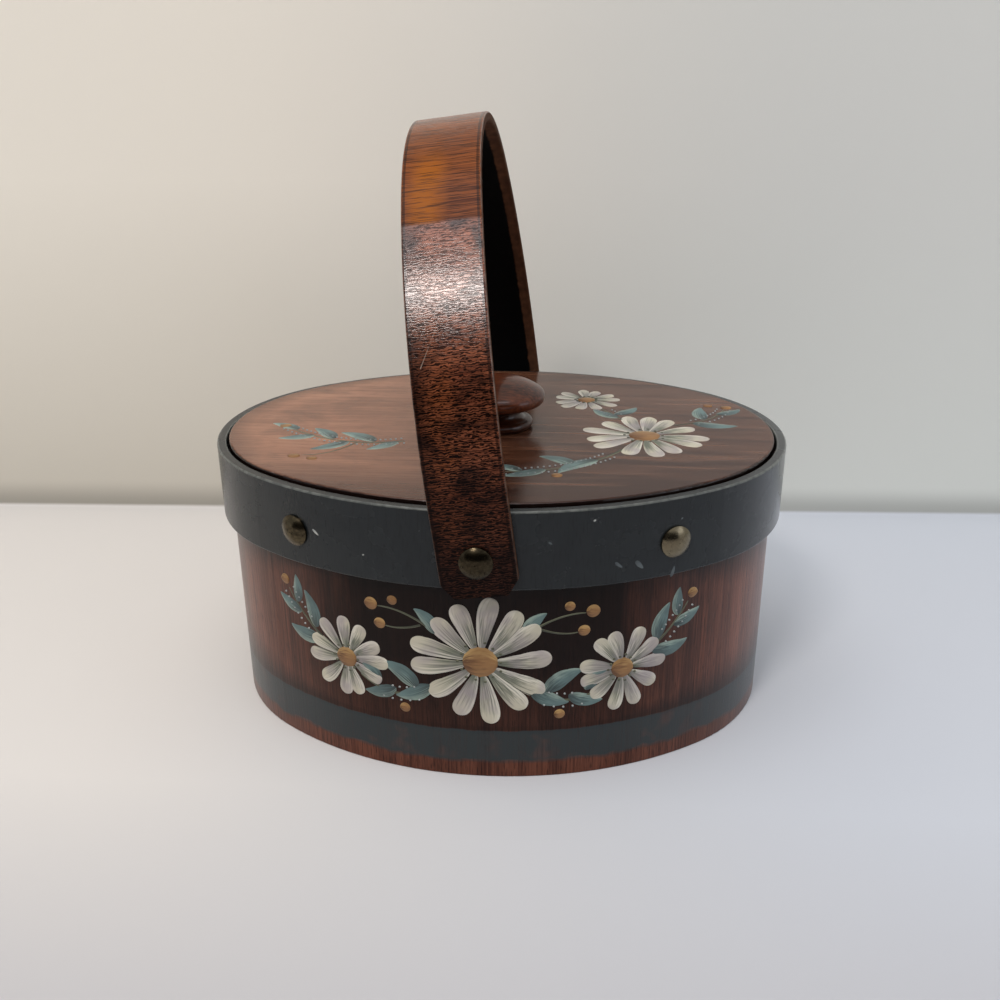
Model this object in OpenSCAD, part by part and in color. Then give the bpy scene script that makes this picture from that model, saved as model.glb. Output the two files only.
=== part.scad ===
// Oval bentwood box with a painted hoop round its rim, a drop-in lid with a turned knob,
// and a bent swing handle riveted through the hoop.
// Millimetres. +Z is up, +X runs along the box, the handle swings about an axis along Y,
// and the origin lies on the table under the middle of the box.

/* [Box] */
// Outside length of the bent wall, along X
box_l = 208; // [190:1:230]
// Outside depth of the bent wall, along Y
box_d = 158; // [146:1:172]
// Outside radius of the wall's two ends
end_r = 66.5; // [58:0.5:70]
// Thickness of the bent wall
wall_t = 3.2; // [2.4:0.1:4.5]
// Thickness of the bottom board
bottom_t = 6; // [4:0.5:9]
// Height of the hoop's rim above the table
rim_h = 103; // [80:1:140]
// Rounding along the wall's edges
wall_round = 0.5; // [0.2:0.1:1]

/* [Hoop] */
// Height of the hoop
hoop_h = 27.8; // [25:0.2:40]
// Thickness of the hoop
hoop_t = 3.6; // [2.6:0.1:5]
// Rounding along the hoop's edges
hoop_round = 0.8; // [0.2:0.1:1.2]
// Width of the glued seam line in the hoop and the wall
seam_w = 0.4; // [0.2:0.1:0.8]
// Depth of the glued seam line
seam_deep = 0.7; // [0.3:0.1:1.2]
// Distance of the hoop's seam from the middle of the back
hoop_seam_x = 30; // [22:1:45]
// Distance of the wall's seam from the middle of the back
wall_seam_x = 26; // [16:1:45]

/* [Lid] */
// Thickness of the lid panel
lid_t = 6; // [4:0.5:8]
// Height of the lid's face above the rim
lid_proud = 1; // [0:0.1:2]
// Gap between the lid's edge and the hoop
lid_gap = 0.8; // [0.4:0.1:1.6]
// Rounding along the lid's edges
lid_round = 0.8; // [0.3:0.1:1.5]

/* [Knob] */
// Diameter of the knob's cap
knob_d = 35; // [30:0.5:44]
// Diameter of the knob's neck
knob_neck_d = 16.6; // [13:0.2:20]
// Diameter of the knob's foot
knob_foot_d = 25.8; // [22:0.2:30]
// Height of the knob
knob_h = 19.7; // [17:0.1:27]
// Thickness of the knob's rounded foot
knob_foot_t = 3.4; // [2.4:0.2:4.4]
// Height of the middle of the cap's rounded edge above the lid
knob_edge_h = 12; // [10.5:0.1:13.5]
// Radius of the cap's rounded edge
knob_edge_r = 3; // [2:0.2:4]
// Diameter of the knob's screw
screw_d = 4; // [3:0.2:5]
// Depth of the screw in the knob
screw_deep = 12; // [8:0.5:13]
// Diameter of the screw's head
screw_head_d = 8.4; // [7:0.2:11]
// Height of the screw's head
screw_head_h = 2.6; // [1.8:0.1:3.4]
// Width of the slot in the screw's head
screw_slot_w = 1.2; // [0.8:0.1:1.8]

/* [Handle] */
// Width of the handle's strip
handle_w = 25.4; // [20:0.2:32]
// Thickness of the handle's strip
handle_t = 3.2; // [2.4:0.1:4.5]
// Height of the handle's crown above its pivot
handle_rise = 129.8; // [117:0.2:150]
// Outside radius of the handle's crown
crown_r = 68.2; // [60:0.2:74]
// Straight length of each leg above the pivot
leg_h = 19.6; // [17:0.2:24]
// Length of each leg below the pivot
tail_h = 12.4; // [10:0.2:16]
// Width of the clipped corner at the leg's lower end
clip_w = 4; // [2:0.2:6]
// Height of the clipped corner at the leg's lower end
clip_h = 5.5; // [3:0.5:8]
// Rounding along the handle's edges
handle_round = 0.7; // [0.2:0.1:1.1]
// Lean of the handle towards -X where it stands
handle_lean = 7; // [0:1:20]
// Depth of the pivot below the rim
pivot_drop = 16; // [14:0.5:18]

/* [Rivets] */
// Diameter of a rivet's head
rivet_head_d = 11; // [8:0.2:13]
// Height of the domed part of a rivet's head
rivet_dome_h = 2; // [1.2:0.1:3]
// Thickness of the flat rim of a rivet's head
rivet_rim_t = 0.6; // [0.3:0.1:1]
// Diameter of a rivet's shank
rivet_d = 4; // [3:0.2:5]
// Diameter of the clinched end inside the box
clinch_d = 6.6; // [5.6:0.2:8]
// Height of the clinched end
clinch_h = 1; // [0.6:0.1:1.6]
// Diameter of the washer under the clinched end
washer_d = 10; // [9:0.2:12]
// Thickness of the washer
washer_t = 0.9; // [0.6:0.1:1.4]
// Distance of the hoop's rivets from the middle of the wall, along X
hoop_rivet_x = 61.8; // [40:0.2:70]
// Depth of the hoop's rivets below the rim
hoop_rivet_drop = 15.5; // [12:0.1:17]

/* [Fits] */
// Gap between the hoop and the handle
handle_gap = 0.4; // [0.3:0.1:1]
// Radial play of the handle's bore on its rivet
pivot_play = 0.08; // [0.03:0.01:0.1]
// Gap between the handle and its rivet's head
head_gap = 0.2; // [0.1:0.05:0.4]
// Radial play of a rivet or screw in what it holds
hole_play = 0.05; // [0.02:0.01:0.1]
// Gap under a flat piece that is seated on a bent one
seat_gap = 0.03; // [0.02:0.01:0.1]
// Glue gap round the bottom board
glue_gap = 0.05; // [0.02:0.01:0.2]

/* [Hidden] */
$fn = 128;

// The box's plan is a four-centre oval: two end arcs and two side arcs that meet on the lines
// through their centres, so every offset of it is again four arcs about the same centres.
end_cx = box_l / 2 - end_r;
side_r = (pow(end_cx, 2) + pow(box_d / 2, 2) - pow(end_r, 2)) / (2 * (box_d / 2 - end_r));
side_cy = side_r - box_d / 2;

// Heights
hoop_z = rim_h - hoop_h;
lid_z = rim_h + lid_proud - lid_t;
lid_top = lid_z + lid_t;
pivot_h = rim_h - pivot_drop;
hoop_rivet_h = rim_h - hoop_rivet_drop;

// The handle's arch is half of a four-centre oval on two straight legs.
leg_y = box_d / 2 + hoop_t + handle_gap + handle_t;
arch_h = handle_rise - leg_h;
arch_r = (pow(arch_h - crown_r, 2) + pow(leg_y, 2) - pow(crown_r, 2)) / (2 * (leg_y - crown_r));
arch_cy = arch_r - leg_y;
crown_cz = arch_h - crown_r;

// Where the side arcs of the wall's outside end and the end arcs begin, along X
side_x = side_r * sin(atan2(end_cx, side_cy));

// A length past every face of the part, for cutting planes and through cuts
past = box_l + handle_rise;

// Length of a rivet's hole, through the wall and the hoop and out of both
hole_l = 4 * (wall_t + hoop_t);

// Half of a plate's section, from the turning axis out to a rounded edge
module plate_section(reach, t, r) {
    square([reach - r, t]);
    translate([0, r]) square([reach, t - 2 * r]);
    for (y = [r, t - r]) translate([reach - r, y]) circle(r);
}

// Half of a hollow's section, from the turning axis out, past both ends
module hollow_section(reach, t, r) {
    translate([0, -t]) square([reach, 3 * t]);
    for (top = [0, 1])
        translate([0, top * t]) mirror([0, top])
            difference() {
                translate([0, -t]) square([reach + r, t + r]);
                translate([reach + r, r]) circle(r);
            }
}

// The part of the plan that belongs to one side arc, between the lines through its centre and
// the end arcs' centres, and lapped past the middle of the box
module side_wedge(sy) {
    far = past / norm([end_cx, side_cy]);
    linear_extrude(2 * past, center = true)
        polygon([
            [end_cx, -sy * end_r / 2],
            [end_cx, 0],
            [end_cx * (1 + far), sy * side_cy * far],
            [-end_cx * (1 + far), sy * side_cy * far],
            [-end_cx, 0],
            [-end_cx, -sy * end_r / 2]
        ]);
}

// Turns a half section, drawn outward from the axis, about the centre of an arc of the given
// radius, which the section reads as $arc_r
module turned(radius) {
    $arc_r = radius;
    rotate_extrude() children();
}

// Carries a half section round the whole oval. The end discs lie inside the side arcs where
// the two overlap, so the outline is smooth.
module round_the_oval() {
    for (sx = [-1, 1])
        translate([sx * end_cx, 0, 0]) turned(end_r) children();
    for (sy = [-1, 1]) intersection() {
        translate([0, -sy * side_cy, 0]) turned(side_r) children();
        side_wedge(sy);
    }
}

// An oval plate whose edge stands off from the wall's outside
module oval_plate(off, z, t, r) {
    round_the_oval() translate([0, z]) plate_section($arc_r + off, t, r);
}

// An oval hollow right through a ring of height t, with a rounded lip at both ends
module oval_hollow(off, z, t, r) {
    round_the_oval() translate([0, z]) hollow_section($arc_r + off, t, r);
}

// Puts a piece on the wall's outside at a distance x to the left (sx = -1) or right (1) of the
// middle, on the front (sy = -1) or back (1), with the piece's +Z pointing out of the box.
// The piece reads the radius of the arc that it sits on as $arc_r.
module on_wall(sx, sy, x, z) {
    at_end = x > side_x;
    centre = at_end ? [sx * end_cx, 0, z] : [0, -sy * side_cy, z];
    $arc_r = at_end ? end_r : side_r;
    turn = asin((at_end ? x - end_cx : x) / $arc_r);
    translate(centre)
        rotate([0, 0, (sy < 0 ? 180 : 0) - sx * sy * turn])
            translate([0, $arc_r, 0])
                rotate([-90, 0, 0]) children();
}

module at_hoop_rivet(sx, sy) {
    on_wall(sx, sy, hoop_rivet_x, hoop_rivet_h) children();
}

module at_handle_rivet(sy) {
    on_wall(1, sy, 0, pivot_h) children();
}

// Holes for all the rivets
module rivet_holes() {
    hole_r = rivet_d / 2 + hole_play;
    for (sx = [-1, 1], sy = [-1, 1])
        at_hoop_rivet(sx, sy) cylinder(h = hole_l, r = hole_r, center = true);
    for (sy = [-1, 1])
        at_handle_rivet(sy) cylinder(h = hole_l, r = hole_r, center = true);
}

// The fine upright line that a glued lap shows on its outside, at the back
module seam_line(sx, x, face) {
    on_wall(sx, 1, x, 0)
        translate([-seam_w / 2, -past, face - seam_deep])
            cube([seam_w, 2 * past, 2 * seam_deep]);
}

// Bottom board, glued in flush with the wall's lower edge
module bottom_board() {
    color("#8a5a3c") oval_plate(-wall_t - glue_gap, 0, bottom_t, wall_round);
}

// Side wall, one thin board bent round the bottom and lapped at the back
module body_wall() {
    color("#7b4630") difference() {
        oval_plate(0, 0, lid_z, wall_round);
        oval_hollow(-wall_t, 0, lid_z, wall_round);
        rivet_holes();
        seam_line(1, wall_seam_x, 0);
    }
}

// Hoop, bent round the top of the wall and standing above it as the lid's seat
module top_hoop() {
    color("#4b5254") difference() {
        oval_plate(hoop_t, hoop_z, hoop_h, hoop_round);
        oval_hollow(glue_gap, hoop_z, hoop_h, hoop_round);
        rivet_holes();
        seam_line(-1, hoop_seam_x, hoop_t);
    }
}

// Height of the washer's inner face. It lies on the wall's hollow inside, so it stands off by
// the rise of the wall across it.
function washer_z(arc_r) =
    -wall_t - washer_t - seat_gap
    - (arc_r - wall_t) + sqrt(pow(arc_r - wall_t, 2) - pow(washer_d / 2, 2));

// Domed rivet: its head sits at +Z on a face at height grip, and its clinched end is inside.
module rivet(grip) {
    head_r = rivet_head_d / 2;
    dome_r = (pow(head_r, 2) + pow(rivet_dome_h, 2)) / (2 * rivet_dome_h);
    clinch_z = washer_z($arc_r) - seat_gap;
    color("#a58a52") rotate_extrude() {
        translate([0, clinch_z]) square([rivet_d / 2, grip - clinch_z]);
        translate([0, clinch_z - clinch_h]) square([clinch_d / 2, clinch_h]);
        translate([0, grip]) square([head_r, rivet_rim_t]);
        intersection() {
            translate([0, grip + rivet_rim_t + rivet_dome_h - dome_r]) circle(dome_r);
            translate([0, grip + rivet_rim_t]) square([head_r, rivet_dome_h]);
        }
    }
}

// Flat washer under a rivet's clinched end
module washer() {
    color("#8f8a80")
        translate([0, 0, washer_z($arc_r)])
            difference() {
                cylinder(h = washer_t, d = washer_d);
                cylinder(h = 3 * washer_t, r = rivet_d / 2 + hole_play, center = true);
            }
}

module hoop_rivet(sx, sy) {
    at_hoop_rivet(sx, sy) rivet(hoop_t + seat_gap);
}

module hoop_washer(sx, sy) {
    at_hoop_rivet(sx, sy) washer();
}

module handle_rivet(sy) {
    at_handle_rivet(sy) rivet(hoop_t + handle_gap + handle_t + head_gap);
}

module handle_washer(sy) {
    at_handle_rivet(sy) washer();
}

// The part of the arch's plane that belongs to one side arc, under the line through its centre
// and the crown's centre, lapped past the middle of the arch and down the leg
module arch_wedge(s) {
    far = past / norm([arch_cy, crown_cz]);
    linear_extrude(2 * past, center = true)
        polygon([
            [-s * crown_r / 2, -leg_h / 2],
            [s * 2 * past, -leg_h / 2],
            [s * 2 * past, crown_cz],
            [s * arch_cy * far, crown_cz * (1 + far)],
            [0, crown_cz],
            [-s * crown_r / 2, crown_cz]
        ]);
}

// Carries a half section over the handle's arch and a length down both legs. The arch stands
// in its own plane: x across the box, y up from the top of the straight legs.
module over_the_arch(down) {
    translate([0, crown_cz, 0]) turned(crown_r) children();
    for (s = [-1, 1]) intersection() {
        translate([-s * arch_cy, 0, 0]) turned(arch_r) children();
        arch_wedge(s);
    }
    rotate([90, 0, 0]) linear_extrude(down) for (s = [0, 1]) {
        $arc_r = leg_y;
        mirror([s, 0]) children();
    }
}

// The handle's bent strip in the arch's plane, with y up from the pivot
module bent_strip() {
    translate([0, leg_h]) difference() {
        over_the_arch(leg_h + tail_h)
            translate([0, -handle_w / 2]) plate_section($arc_r, handle_w, handle_round);
        over_the_arch(past)
            translate([0, -handle_w / 2])
                hollow_section($arc_r - handle_t, handle_w, handle_round);
    }
}

// Cuts one clipped corner off both lower ends
module corner_clip(s) {
    slope = [clip_w, clip_h];
    corner = [handle_w / 2 - clip_w, -tail_h];
    low = corner - slope;
    high = corner + 2 * slope;
    rotate([0, -90, 0])
        linear_extrude(2 * past, center = true)
            polygon([[s * low.x, low.y], [s * high.x, high.y], [s * high.x, low.y]]);
}

// Swing handle: a thin strip bent over in an arch, bored for a rivet at each end
module handle() {
    color("#6b3a26")
        translate([0, 0, pivot_h])
            rotate([0, -handle_lean, 0])
                rotate([90, 0, 90])
                    difference() {
                        bent_strip();
                        for (s = [-1, 1]) corner_clip(s);
                        rotate([0, 90, 0])
                            cylinder(h = 2 * past, r = rivet_d / 2 + pivot_play, center = true);
                    }
}

// Lid panel, resting on the wall's top edge inside the hoop
module lid_panel() {
    color("#8d5b42") difference() {
        oval_plate(-lid_gap, lid_z, lid_t, lid_round);
        translate([0, 0, lid_z]) cylinder(h = 3 * lid_t, r = screw_d / 2 + hole_play, center = true);
    }
}

// Points along an arc of radii r.x and r.y, from angle a0 to a1
function arc(centre, r, a0, a1, steps = 10) = [
    for (i = [0:steps])
        let (a = a0 + (a1 - a0) * i / steps)
            centre + [r.x * cos(a), r.y * sin(a)]
];

// Turned knob: a rounded foot, a hollow neck and a mushroom cap
module lid_knob() {
    foot_r = knob_foot_t / 2;
    foot_x = knob_foot_d / 2 - foot_r;
    edge_x = knob_d / 2 - knob_edge_r;
    cove_h = (knob_edge_h - knob_edge_r - knob_foot_t) / 2;
    neck_z = knob_foot_t + cove_h;
    over = knob_h - knob_edge_h;
    dome_r = (pow(edge_x, 2) + pow(over, 2) - pow(knob_edge_r, 2)) / (2 * (over - knob_edge_r));
    dome_z = knob_h - dome_r;
    dome_a = atan2(knob_edge_h - dome_z, edge_x);
    profile = concat(
        [[0, 0]],
        arc([foot_x, foot_r], [foot_r, foot_r], -90, 90),
        arc([foot_x, neck_z], [foot_x - knob_neck_d / 2, cove_h], 270, 180),
        arc([edge_x, neck_z], [edge_x - knob_neck_d / 2, cove_h], 180, 90),
        arc([edge_x, knob_edge_h], [knob_edge_r, knob_edge_r], -90, dome_a),
        arc([0, dome_z], [dome_r, dome_r], dome_a, 90)
    );
    color("#7a4a35") translate([0, 0, lid_top]) difference() {
        rotate_extrude() polygon(profile);
        cylinder(h = 2 * (screw_deep + screw_d / 2), r = screw_d / 2 + hole_play, center = true);
    }
}

// Round-headed wood screw, up through the lid into the knob
module knob_screw() {
    head_r = screw_head_d / 2;
    ball_r = (pow(head_r, 2) + pow(screw_head_h, 2)) / (2 * screw_head_h);
    color("#9a8f7a") translate([0, 0, lid_z]) difference() {
        rotate_extrude() {
            translate([0, -seat_gap]) square([screw_d / 2, lid_t + screw_deep + seat_gap]);
            intersection() {
                translate([0, -seat_gap - screw_head_h + ball_r]) circle(ball_r);
                translate([0, -seat_gap - screw_head_h]) square([head_r, screw_head_h]);
            }
        }
        translate([0, 0, -seat_gap - screw_head_h])
            cube([2 * screw_head_d, screw_slot_w, screw_head_h], center = true);
    }
}

function side_name(sx, sy) = str(sy < 0 ? "front" : "back", sx < 0 ? "_left" : "_right");
function end_name(sy) = sy < 0 ? "front" : "back";

bottom_board();
body_wall();
top_hoop();
for (sx = [-1, 1], sy = [-1, 1]) {
    hoop_rivet(sx, sy);
    hoop_washer(sx, sy);
}
handle();
for (sy = [-1, 1]) {
    handle_rivet(sy);
    handle_washer(sy);
}
lid_panel();
lid_knob();
knob_screw();
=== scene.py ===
import math
import random

import bpy
from mathutils import Matrix, Vector


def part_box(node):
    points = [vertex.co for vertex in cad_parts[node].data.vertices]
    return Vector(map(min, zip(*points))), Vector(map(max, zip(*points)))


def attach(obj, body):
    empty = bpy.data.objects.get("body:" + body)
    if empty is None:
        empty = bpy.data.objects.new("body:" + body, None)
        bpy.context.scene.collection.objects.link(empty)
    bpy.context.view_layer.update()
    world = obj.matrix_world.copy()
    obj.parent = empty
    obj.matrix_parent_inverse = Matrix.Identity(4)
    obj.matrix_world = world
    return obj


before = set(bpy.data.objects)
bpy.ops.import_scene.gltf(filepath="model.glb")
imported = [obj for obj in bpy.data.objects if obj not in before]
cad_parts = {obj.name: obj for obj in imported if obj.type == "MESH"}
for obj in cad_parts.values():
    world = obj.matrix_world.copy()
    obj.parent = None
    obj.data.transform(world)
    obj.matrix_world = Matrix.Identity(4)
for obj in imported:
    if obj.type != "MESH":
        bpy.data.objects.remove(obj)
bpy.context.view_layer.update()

# Bottom board and bent wall: thin mahogany, the wall bent hot round the glued-in bottom
# with its grain upright, stained red-brown and varnished. A band of slate paint runs round
# the outside a little above the table, and the front carries a brown antiquing glaze.

MM = 0.001


def linear(hex_colour):
    """A colour written in sRGB hex, as linear RGBA."""
    parts = [int(hex_colour[i : i + 2], 16) / 255 for i in (1, 3, 5)]
    return [c / 12.92 if c <= 0.04045 else ((c + 0.055) / 1.055) ** 2.4 for c in parts] + [1.0]


def node(tree, kind, feeds=None, **settings):
    """Adds a shader node with its settings. feeds gives each input a value, an output, or a
    node, whose first output in use is taken."""
    made = tree.nodes.new("ShaderNode" + kind)
    for name, value in settings.items():
        setattr(made, name, value)
    for socket, value in (feeds or {}).items():
        if isinstance(value, bpy.types.Node):
            value = next(output for output in value.outputs if output.enabled)
        if isinstance(value, bpy.types.NodeSocket):
            tree.links.new(value, made.inputs[socket])
        else:
            made.inputs[socket].default_value = value
    return made


# Inputs of a colour Mix node. Those of a MapRange node are 0 the value, 1 and 2 the range it
# comes from, and 3 and 4 the range it goes to, which is 0 to 1 where they aren't given.
MIX, MIX_A, MIX_B = 0, 6, 7


def new_material(name):
    """An empty material; returns it and its node tree."""
    material = bpy.data.materials.new(name)
    material.use_nodes = True
    material.node_tree.nodes.clear()
    return material, material.node_tree


def dress(material, *names):
    """Gives CAD nodes a material in their own slot."""
    for name in names:
        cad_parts[name].material_slots[0].material = material


def mahogany(tree, place, fibre, dark, light, band_mm, streak_mm, pore_mm, pore_depth):
    """Colour and height of sliced mahogany: soft bands, finer streaks along the fibre axis,
    and short open pores that the stain fills dark. Each size is (across, along) in mm."""
    layers = []
    for (across, along), detail in ((band_mm, 2), (streak_mm, 3), (pore_mm, 1)):
        size = [1 / (across * MM)] * 3
        size[fibre] = 1 / (along * MM)
        stretched = node(tree, "VectorMath", {0: place, 1: size}, operation="MULTIPLY")
        noise = node(tree, "TexNoise", {"Vector": stretched, "Scale": 1, "Detail": detail})
        layers.append(noise)
    band, streak, pore = layers
    figure = node(tree, "Math", {0: streak, 1: 1.2, 2: band}, operation="MULTIPLY_ADD")
    tone = node(tree, "MapRange", {0: figure, 1: 0.75, 2: 1.45})
    wood = node(tree, "Mix", {MIX: tone, MIX_A: linear(dark), MIX_B: linear(light)}, data_type="RGBA")
    open_pore = node(tree, "MapRange", {0: pore, 1: 0.56, 2: 0.7, 3: 0, 4: pore_depth})
    colour = node(tree, "Mix", {MIX: open_pore, MIX_A: wood, MIX_B: linear("#140a07")}, data_type="RGBA")
    height = node(tree, "Math", {0: tone, 1: open_pore}, operation="SUBTRACT")
    return colour, height


# Heights of the stripe's edges and the slip of its lower one; how far from the middle of the
# front the glaze is full and is gone, and how far its streaks sway; the height farthest from the
# painted shade under the hoop and the glaze over the stripe
SLATE = "#323b3d"
STRIPE_LOW, STRIPE_HIGH, STRIPE_SLIP = 6.4 * MM, 19.3 * MM, 4 * MM
GLAZE_FULL, GLAZE_NONE, GLAZE_SWAY = 41 * MM, 103 * MM, 36 * MM
CLEAR_OF_SHADE_AND_GLAZE = 47.5 * MM

# Varnished mahogany: a satin film over upright streaks, the pores just open enough to catch light
wall_wood, tree = new_material("varnished_mahogany_wall")
coords = node(tree, "TexCoord")
place = coords.outputs["Object"]
x, y, z = node(tree, "SeparateXYZ", {0: place}).outputs
wood, grain = mahogany(tree, place, 2, "#4b271c", "#975b45", (11, 150), (0.65, 32), (0.3, 5), 0.6)
outward = node(tree, "VectorMath", {0: coords.outputs["Normal"], 1: place}, operation="DOT_PRODUCT")
outside = node(tree, "Math", {0: outward, 1: 0}, operation="GREATER_THAN")
# The glaze is wiped on over the middle of the front. It thins out to both sides in upright
# streaks, and a little towards the stripe, where it stops
wipe_size = (1 / (7 * MM), 1 / (7 * MM), 1 / (45 * MM))
wipes = node(tree, "VectorMath", {0: place, 1: wipe_size}, operation="MULTIPLY")
cloud = node(tree, "TexNoise", {"Vector": wipes, "Scale": 1, "Detail": 4, "Distortion": 0.4})
off_middle = node(tree, "Math", {0: x}, operation="ABSOLUTE")
drift = node(tree, "Math", {0: cloud, 1: GLAZE_SWAY, 2: off_middle}, operation="MULTIPLY_ADD")
wiped = node(tree, "MapRange", {0: drift, 1: GLAZE_NONE + GLAZE_SWAY / 2, 2: GLAZE_FULL + GLAZE_SWAY / 2},
             interpolation_type="SMOOTHSTEP")
front = node(tree, "MapRange", {0: y, 1: 0, 2: -20 * MM, 3: 0, 4: 0.97})
thinner = node(tree, "MapRange", {0: z, 1: 24 * MM, 2: 46 * MM, 3: 0.82, 4: 1})
laid = node(tree, "Math", {0: wiped, 1: thinner}, operation="MULTIPLY")
glaze = node(tree, "Math", {0: laid, 1: front}, operation="MULTIPLY")
above = node(tree, "MapRange", {0: z, 1: STRIPE_HIGH - 2 * MM, 2: STRIPE_HIGH})
# All round, there is painted shade under the hoop, over glaze gathered there, and glaze
# gathered over the stripe; the wood below the stripe is darker
lower = node(tree, "Math", {0: z, 1: CLEAR_OF_SHADE_AND_GLAZE}, operation="SUBTRACT")
off_band = node(tree, "Math", {0: lower}, operation="ABSOLUTE")
shade = node(tree, "MapRange", {0: off_band, 1: 12 * MM, 2: 27 * MM, 3: 0, 4: 0.84})
darker = node(tree, "Math", {0: glaze, 1: shade}, operation="MAXIMUM")
kept = node(tree, "Math", {0: darker, 1: above}, operation="MULTIPLY")
below = node(tree, "MapRange", {0: z, 1: STRIPE_LOW + 1 * MM, 2: STRIPE_LOW, 3: 0, 4: 0.38})
darkening = node(tree, "Math", {0: kept, 1: below}, operation="ADD")
darkened_wood = node(tree, "Mix", {MIX: darkening, MIX_A: wood, MIX_B: linear("#090403")}, data_type="RGBA")
# The stripe's edges wander by a few tenths of a millimetre, as a brush along tape leaves them,
# and its lower edge slips by a millimetre more. The paint is rubbed thin in patches
wander = node(tree, "TexNoise", {"Vector": place, "Scale": 1 / (3.85 * MM), "Detail": 2})
brush_z = node(tree, "Math", {0: wander, 1: 0.9 * MM, 2: z}, operation="MULTIPLY_ADD")
slips = node(tree, "TexNoise", {"Vector": place, "Scale": 1 / (9 * MM), "Detail": 3})
slip_z = node(tree, "Math", {0: slips, 1: STRIPE_SLIP, 2: brush_z}, operation="MULTIPLY_ADD")
low_edge = node(tree, "MapRange", {0: slip_z, 1: STRIPE_LOW + 1.4 * MM, 2: STRIPE_LOW + 3.2 * MM})
high_edge = node(tree, "MapRange", {0: brush_z, 1: STRIPE_HIGH, 2: STRIPE_HIGH + 0.5 * MM, 3: 1, 4: 0})
band = node(tree, "Math", {0: low_edge, 1: high_edge}, operation="MULTIPLY")
stripe = node(tree, "Math", {0: band, 1: outside}, operation="MULTIPLY")
worn = node(tree, "MapRange", {0: grain, 1: -0.6, 2: 0.5, 3: 0.72, 4: 0.97})
patches = node(tree, "TexNoise", {"Vector": place, "Scale": 1 / (13 * MM), "Detail": 3})
lessened = node(tree, "MapRange", {0: patches, 1: 0.56, 2: 0.72, 3: 1, 4: 0.7})
wear_and_highlight = node(tree, "Math", {0: worn, 1: lessened}, operation="MULTIPLY")
cover = node(tree, "Math", {0: stripe, 1: wear_and_highlight}, operation="MULTIPLY")
painted_wall = node(tree, "Mix", {MIX: cover, MIX_A: darkened_wood, MIX_B: linear(SLATE)}, data_type="RGBA")
# Inside, the wood is stained but bare of glaze and varnish
inner = node(tree, "Mix", {MIX: outside, MIX_A: wood, MIX_B: painted_wall}, data_type="RGBA")
sheen = node(tree, "MapRange", {0: grain, 1: -0.4, 2: 1, 3: 0.42, 4: 0.3})
bump = node(tree, "Bump", {"Height": grain, "Distance": 0.04 * MM, "Strength": 0.7})
# The varnish is thicker round the ends than over the glaze
ends = node(tree, "MapRange", {0: off_middle, 1: 45 * MM, 2: 95 * MM, 3: 0, 4: 0.6})
filmed = node(tree, "Math", {0: ends, 1: outside}, operation="MULTIPLY")
surface = node(tree, "BsdfPrincipled", {"Base Color": inner, "Roughness": sheen,
                                        "Normal": bump, "IOR": 1.5, "Specular IOR Level": 0.17,
                                        "Coat Weight": filmed, "Coat Roughness": 0.4})
node(tree, "OutputMaterial", {"Surface": surface})
dress(wall_wood, "body_wall")

# Plain mahogany board: the same stain, its grain running along the box
board_wood, tree = new_material("stained_mahogany_board")
place = node(tree, "TexCoord").outputs["Object"]
wood, grain = mahogany(tree, place, 0, "#4a2a1d", "#8a5a40", (16, 200), (1.1, 60), (0.4, 8), 0.6)
bump = node(tree, "Bump", {"Height": grain, "Distance": 0.06 * MM})
surface = node(tree, "BsdfPrincipled", {"Base Color": wood, "Roughness": 0.6, "Normal": bump})
node(tree, "OutputMaterial", {"Surface": surface})
dress(board_wood, "bottom_board")

# Painted spray on the front of the wall: daisies, leaves and berries in artists' acrylic,
# each a loaded brush stroke that stands a few tenths of a millimetre off the wood.

# The wall's oval is four arcs; the spray lies on the front one. Stroke sizes are in mm
wall_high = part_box("body_wall")[1]
END_R = 66.5 * MM
end_cx = wall_high.x - END_R
side_r = (end_cx**2 + wall_high.y**2 - END_R**2) / (2 * (wall_high.y - END_R))
side_cy = side_r - wall_high.y
# Faces across a stroke, and how far its rim dips under the wood
STROKE_ACROSS = 8
DIP = 0.05


def on_wall(along, up, out):
    """A point on the front of the wall: mm round it from the middle, mm up, mm off its face."""
    turn = along * MM / side_r
    reach = side_r + out * MM
    return Vector((reach * math.sin(turn), side_cy - reach * math.cos(turn), up * MM))


def brush(name, strokes, on_face, lift, layer, material, body):
    """One piece of brush strokes. A stroke is a list of (u, v, half width) along its middle;
    it is crowned by lift over layer, and its rim dips under the face that carries it."""
    verts, faces, marks = [], [], []
    width = STROKE_ACROSS + 1
    for line in strokes:
        first, last = len(verts), len(line) - 1
        for i, (u, v, half) in enumerate(line):
            before, after = line[max(i - 1, 0)], line[min(i + 1, last)]
            run = Vector((after[0] - before[0], after[1] - before[1])).normalized()
            rise = 1 - abs(2 * i / last - 1) ** 12
            for j in range(width):
                s = 2 * j / STROKE_ACROSS - 1
                out = (layer + lift * (1 - s * s)) * (1 - s**8) * rise - DIP
                verts.append(on_face(u - run.y * s * half, v + run.x * s * half, out))
                marks.append((i / last, j / STROKE_ACROSS))
        corner = [first + i * width for i in range(last + 1)]
        for a, b in zip(corner, corner[1:]):
            faces += [(a + j, b + j, b + j + 1, a + j + 1) for j in range(STROKE_ACROSS)]
        rim = corner + [corner[-1] + j for j in range(1, width)]
        rim += [c + STROKE_ACROSS for c in reversed(corner[:-1])]
        rim += [first + j for j in range(STROKE_ACROSS - 1, 0, -1)]
        faces.append(rim)
    mesh = bpy.data.meshes.new(name)
    mesh.from_pydata(verts, [], faces)
    layer_uv = mesh.uv_layers.new(name="stroke")
    for loop in mesh.loops:
        layer_uv.data[loop.index].uv = marks[loop.vertex_index]
    mesh.shade_smooth()
    mesh.materials.append(material)
    piece = bpy.data.objects.new(name, mesh)
    bpy.context.scene.collection.objects.link(piece)
    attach(piece, body)


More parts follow.
